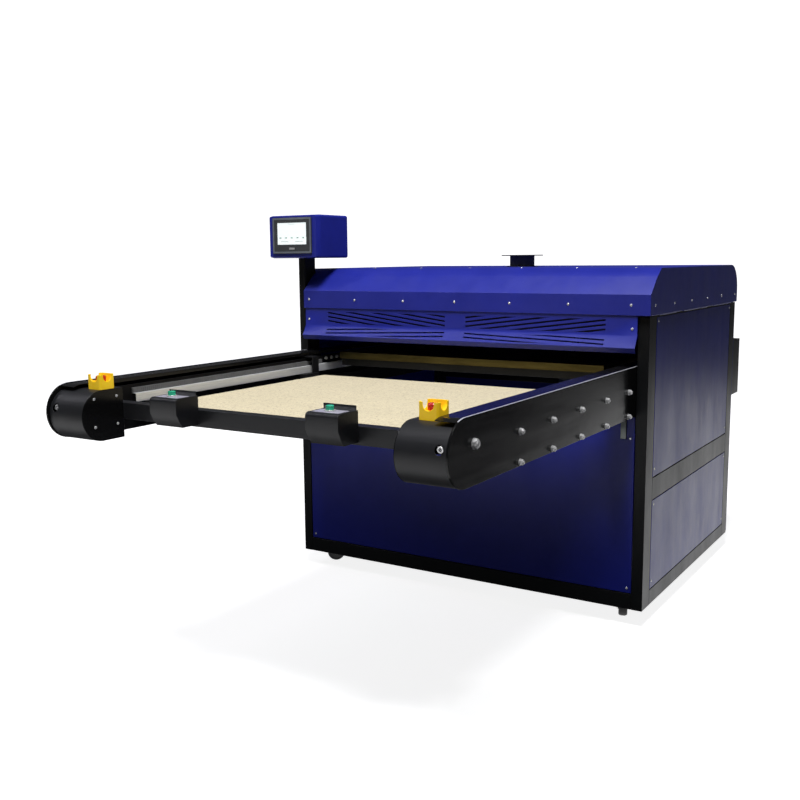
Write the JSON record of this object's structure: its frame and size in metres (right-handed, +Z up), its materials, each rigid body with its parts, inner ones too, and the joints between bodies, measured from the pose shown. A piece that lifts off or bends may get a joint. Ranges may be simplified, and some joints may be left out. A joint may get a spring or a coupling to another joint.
{
  "type": "drawer heat press",
  "caption": "Large-format pneumatic heat press on casters: louvred hood, heated platen and a padded table that slides out on two belt-driven arms.",
  "frame": {"origin": "on the floor under the middle of the machine's bounding box", "axes": "+X to the operator's right, +Y from the operator into the machine, +Z up"},
  "size_m": [1.618, 2.634, 1.49],
  "materials": {
    "frame_black": "semi-gloss powder coat",
    "panel_blue": "fine-textured blue powder coat",
    "hood_blue": "fine-textured blue powder coat",
    "flue_black": "matte black paint",
    "arm_black": "gloss black powder coat",
    "bezel_grey": "satin moulded",
    "screen_face": "lit display",
    "rail_steel": "ground",
    "bright_steel": "zinc plated",
    "guard_yellow": "moulded",
    "belt_rubber": "toothed belt",
    "cast_housing": "as cast",
    "motor_grey": "hammered grey",
    "cylinder_aluminium": "anodised",
    "black_plastic": "moulded",
    "pad_felt": "aramid felt",
    "table_steel": "black paint",
    "heat_plate": "hard anodised",
    "platen_gold": "heat-tinted sheet",
    "pulley_aluminium": "turned",
    "start_green": "translucent moulded",
    "estop_red": "moulded",
    "fork_steel": "black",
    "wheel_rubber": "solid tread"
  },
  "bodies": {
    "frame": {"corner_posts": "frame_black", "bottom_rails": "frame_black", "side_rails": "frame_black", "cross_rails": "frame_black", "press_beams": "frame_black", "caster_plates": "frame_black", "front_panel": "panel_blue", "side_panels": "panel_blue", "seal_strips": "black_plastic", "rear_panel": "panel_blue", "hood": "hood_blue", "louver_panel": "hood_blue", "exhaust_flue": "flue_black", "screen_post": "frame_black", "screen_box": "hood_blue", "touch_panel": "bezel_grey", "touch_screen": "screen_face", "arm_plates": "arm_black", "arm_beams": "arm_black", "arm_covers": "arm_black", "end_covers": "arm_black", "end_plates": "arm_black", "table_rails": "rail_steel", "crossbar": "arm_black", "button_boxes": "arm_black", "button_rings": "bright_steel", "estop_guards": "guard_yellow", "drive_belts": "belt_rubber", "shaft_bearings": "cast_housing", "gear_motor": "motor_grey", "air_cylinders": "cylinder_aluminium", "arm_bolts": "bright_steel", "arm_spacers": "frame_black", "panel_screws": "bright_steel", "rear_box": "frame_black", "air_inlet": "bright_steel", "cable_gland": "black_plastic"},
    "table": {"table_pad": "pad_felt", "table_plate": "table_steel", "carriages": "table_steel", "belt_clamps": "table_steel"},
    "platen": {"heat_plate": "heat_plate", "platen_cover": "platen_gold", "cylinder_rods": "bright_steel"},
    "shaft": {"drive_shaft": "rail_steel"},
    "idler_left": {"left_idler": "pulley_aluminium"},
    "idler_right": {"right_idler": "pulley_aluminium"},
    "box_door": {"rear_box_door": "frame_black"},
    "start_left": {"left_start_button": "start_green"},
    "start_right": {"right_start_button": "start_green"},
    "estop_left": {"left_estop_button": "estop_red"},
    "estop_right": {"right_estop_button": "estop_red"},
    "front_left_swivel": {"front_left_fork": "fork_steel"},
    "front_left_roller": {"front_left_wheel": "wheel_rubber"},
    "front_right_swivel": {"front_right_fork": "fork_steel"},
    "front_right_roller": {"front_right_wheel": "wheel_rubber"},
    "rear_left_swivel": {"rear_left_fork": "fork_steel"},
    "rear_left_roller": {"rear_left_wheel": "wheel_rubber"},
    "rear_right_swivel": {"rear_right_fork": "fork_steel"},
    "rear_right_roller": {"rear_right_wheel": "wheel_rubber"}
  },
  "joints": [
    {"name": "table_slide", "type": "slide", "parent": "frame", "child": "table", "axis": [0, 1, 0], "range_m": [0, 1.15]},
    {"name": "platen_press", "type": "slide", "parent": "frame", "child": "platen", "axis": [0, 0, -1], "range_m": [0, 0.022]},
    {"name": "shaft_spin", "type": "hinge", "parent": "frame", "child": "shaft", "pos_m": [0.05, 1.129, 0.866], "axis": [-1, 0, 0], "range_deg": [-10, 2230]},
    {"name": "idler_left_spin", "type": "hinge", "parent": "frame", "child": "idler_left", "pos_m": [-0.63, -1.188, 0.866], "axis": [-1, 0, 0], "range_deg": [-10, 2230]},
    {"name": "idler_right_spin", "type": "hinge", "parent": "frame", "child": "idler_right", "pos_m": [0.73, -1.188, 0.866], "axis": [-1, 0, 0], "range_deg": [-10, 2230]},
    {"name": "box_door_hinge", "type": "hinge", "parent": "frame", "child": "box_door", "pos_m": [0.436, 1.306, 0.815], "axis": [0, 0, 1], "range_deg": [0, 110]},
    {"name": "start_left_press", "type": "slide", "parent": "frame", "child": "start_left", "axis": [0, 0, -1], "range_m": [0, 0.004], "stiffness_N_per_m": 500, "springref_m": -0.004},
    {"name": "start_right_press", "type": "slide", "parent": "frame", "child": "start_right", "axis": [0, 0, -1], "range_m": [0, 0.004], "stiffness_N_per_m": 500, "springref_m": -0.004},
    {"name": "estop_left_press", "type": "slide", "parent": "frame", "child": "estop_left", "axis": [0, 0, -1], "range_m": [0, 0.004]},
    {"name": "estop_right_press", "type": "slide", "parent": "frame", "child": "estop_right", "axis": [0, 0, -1], "range_m": [0, 0.004]},
    {"name": "front_left_swivel_turn", "type": "hinge", "parent": "frame", "child": "front_left_swivel", "pos_m": [-0.59, 0.129, 0.062], "axis": [0, 0, 1], "continuous": true},
    {"name": "front_left_wheel_roll", "type": "hinge", "parent": "front_left_swivel", "child": "front_left_roller", "pos_m": [-0.61023, 0.11431, 0.0375], "axis": [0.5878, -0.809, 0], "continuous": true},
    {"name": "front_right_swivel_turn", "type": "hinge", "parent": "frame", "child": "front_right_swivel", "pos_m": [0.69, 0.129, 0.062], "axis": [0, 0, 1], "continuous": true},
    {"name": "front_right_wheel_roll", "type": "hinge", "parent": "front_right_swivel", "child": "front_right_roller", "pos_m": [0.69814, 0.10536, 0.0375], "axis": [0.9455, 0.3256, 0], "continuous": true},
    {"name": "rear_left_swivel_turn", "type": "hinge", "parent": "frame", "child": "rear_left_swivel", "pos_m": [-0.59, 1.067, 0.062], "axis": [0, 0, 1], "continuous": true},
    {"name": "rear_left_wheel_roll", "type": "hinge", "parent": "rear_left_swivel", "child": "rear_left_roller", "pos_m": [-0.57826, 1.08907, 0.0375], "axis": [-0.8829, 0.4695, 0], "continuous": true},
    {"name": "rear_right_swivel_turn", "type": "hinge", "parent": "frame", "child": "rear_right_swivel", "pos_m": [0.69, 1.067, 0.062], "axis": [0, 0, 1], "continuous": true},
    {"name": "rear_right_wheel_roll", "type": "hinge", "parent": "rear_right_swivel", "child": "rear_right_roller", "pos_m": [0.69647, 1.09115, 0.0375], "axis": [-0.9659, 0.2588, 0], "continuous": true}
  ],
  "couplings": [
    {"joint": "shaft_spin", "follows": "table_slide", "rad_per_m": 33.613},
    {"joint": "idler_left_spin", "follows": "table_slide", "rad_per_m": 33.613},
    {"joint": "idler_right_spin", "follows": "table_slide", "rad_per_m": 33.613}
  ]
}
